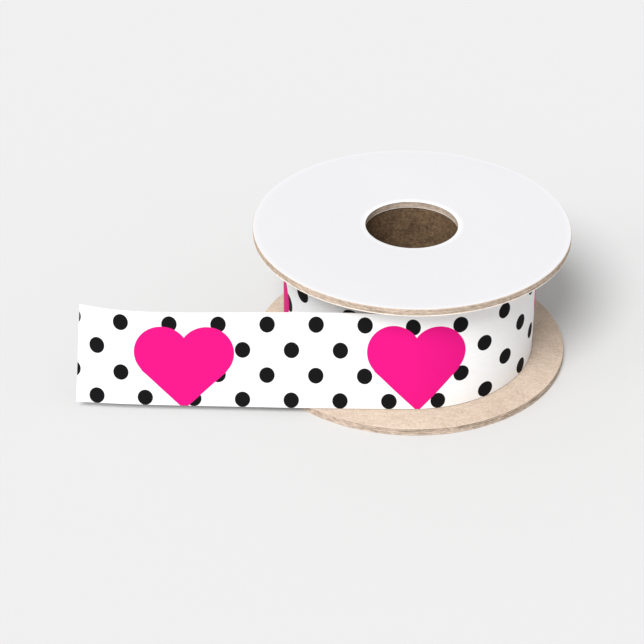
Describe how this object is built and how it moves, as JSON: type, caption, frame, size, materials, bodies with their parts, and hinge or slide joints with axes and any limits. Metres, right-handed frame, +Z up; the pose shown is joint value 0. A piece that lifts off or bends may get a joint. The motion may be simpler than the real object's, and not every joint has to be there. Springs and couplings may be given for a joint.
{
  "type": "spool of satin ribbon",
  "caption": "Satin ribbon wound on a paper core between chipboard discs with a hole through the middle, its free end pulled off the front and standing on edge.",
  "frame": {"origin": "on the surface that the spool lies on, under the middle of the spool and its free length together", "axes": "+X from the free end towards the spool, +Y away from the side that the free end leaves, +Z up along the spool's axis"},
  "size_m": [0.173, 0.1134, 0.0501],
  "materials": {
    "chipboard": "matt brown board, fibrous, with plies on its cut edge",
    "paper_tube": "matt brown spiral-wound paper",
    "satin": "white single-face satin printed with black dots and pink hearts",
    "white_paper": "smooth matt white paper"
  },
  "bodies": {
    "root": {"board_bottom": "chipboard", "core_tube": "paper_tube", "ribbon_roll": "satin", "ribbon_end": "satin", "board_top": "chipboard", "paper_facing": "white_paper"}
  },
  "joints": []
}
